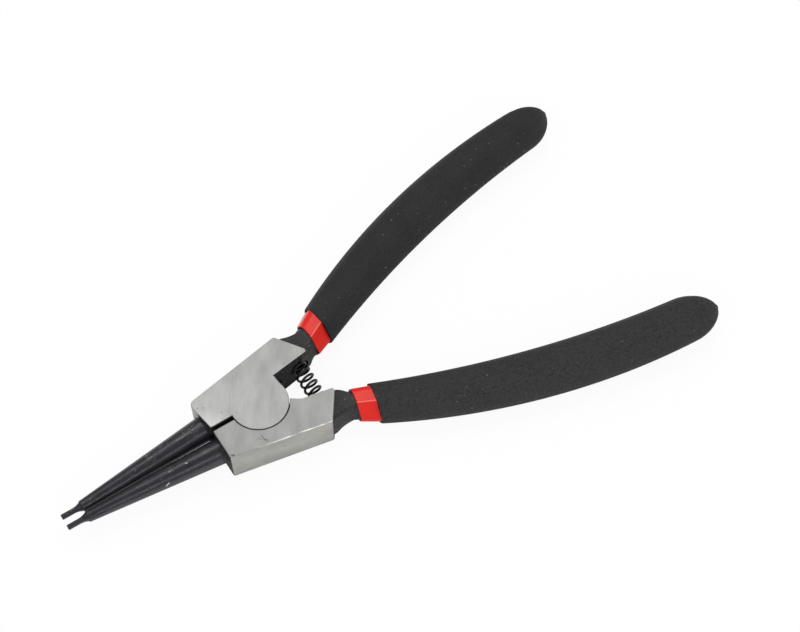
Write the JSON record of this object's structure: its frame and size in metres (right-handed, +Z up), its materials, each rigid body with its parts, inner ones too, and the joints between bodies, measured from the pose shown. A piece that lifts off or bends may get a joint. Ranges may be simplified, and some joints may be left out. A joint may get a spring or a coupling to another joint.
{
  "type": "circlip pliers",
  "caption": "Circlip pliers for outside rings, with straight round tips, a lapped joint on a flush rivet, a coil return spring and dipped handles, black over red.",
  "frame": {"origin": "middle of the length and width, on the surface that the pliers lie on", "axes": "+X from the tips to the handle ends, +Z up and along the rivet, with the slit on the XZ plane"},
  "size_m": [0.18, 0.0918, 0.0117],
  "materials": {
    "lever_steel": "black oxide, with the joint ground bright",
    "rivet_steel": "ground flush",
    "spring_steel": "oiled black wire",
    "red_vinyl": "glossy dip coat",
    "black_vinyl": "matte dip coat"
  },
  "bodies": {
    "lower_half": {"lower_lever": "lever_steel", "lower_red_sleeve": "red_vinyl", "lower_grip": "black_vinyl", "pivot_rivet": "rivet_steel", "return_spring": "spring_steel"},
    "upper_half": {"upper_lever": "lever_steel", "upper_red_sleeve": "red_vinyl", "upper_grip": "black_vinyl"}
  },
  "joints": [
    {"name": "handle_squeeze", "type": "hinge", "parent": "lower_half", "child": "upper_half", "pos_m": [-0.032, 0, 0.00587], "axis": [0, 0, -1], "range_deg": [0, 30], "stiffness_Nm_per_rad": 2, "springref_deg": -6.88, "deforming": ["return_spring"]}
  ]
}
